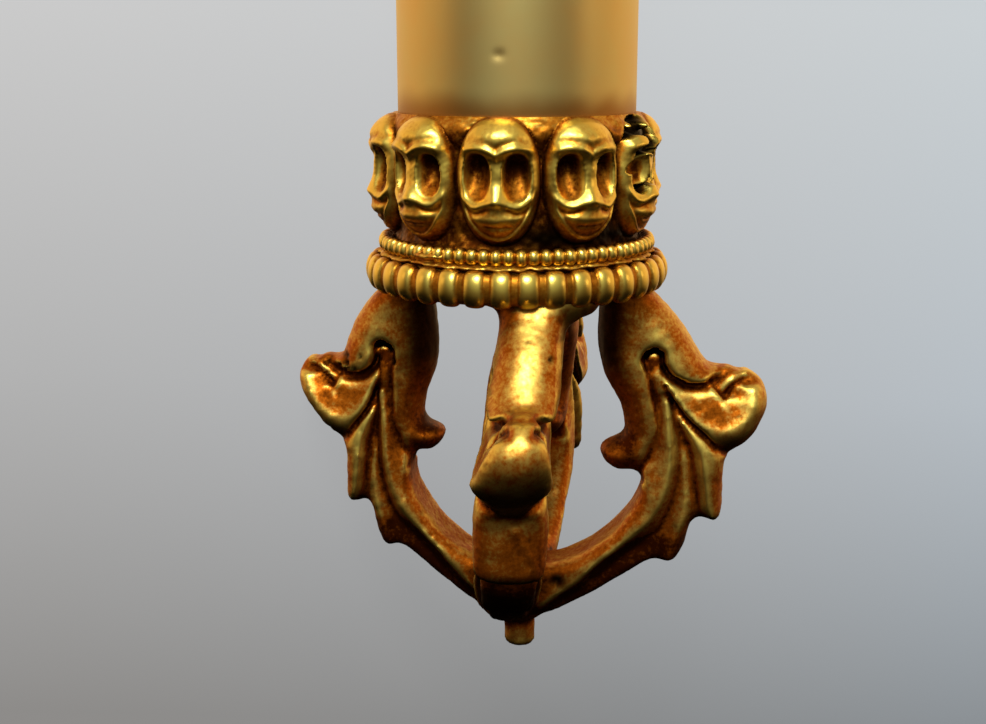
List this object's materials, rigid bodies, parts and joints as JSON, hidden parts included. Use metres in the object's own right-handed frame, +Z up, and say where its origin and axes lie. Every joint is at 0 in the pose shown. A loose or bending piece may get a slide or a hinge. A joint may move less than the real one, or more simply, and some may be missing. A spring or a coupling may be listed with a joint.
{
  "type": "ceremonial sceptre",
  "caption": "Gold ceremonial sceptre: round shaft, collar of skull masks, beaded rings and an open cage of scrolled prongs closing on a small tip, with a flared cap on the far end",
  "frame": {"origin": "on the surface that the sceptre lies on, under the middle of its bounding box", "axes": "+Z up, +X along the shaft towards the cage of prongs, +Y across"},
  "size_m": [0.2996, 0.041, 0.0412],
  "materials": {
    "satin_gold": "satin",
    "cast_gold": "satin",
    "bead_gold": "satin",
    "cage_gold": "satin",
    "cap_gold": "satin"
  },
  "bodies": {
    "root": {"shaft": "satin_gold", "skull_collar": "cast_gold", "fine_bead_ring": "bead_gold", "heavy_bead_ring": "bead_gold", "prong_cage": "cage_gold", "butt_cap": "cap_gold", "butt_bead_ring": "bead_gold"}
  },
  "joints": []
}
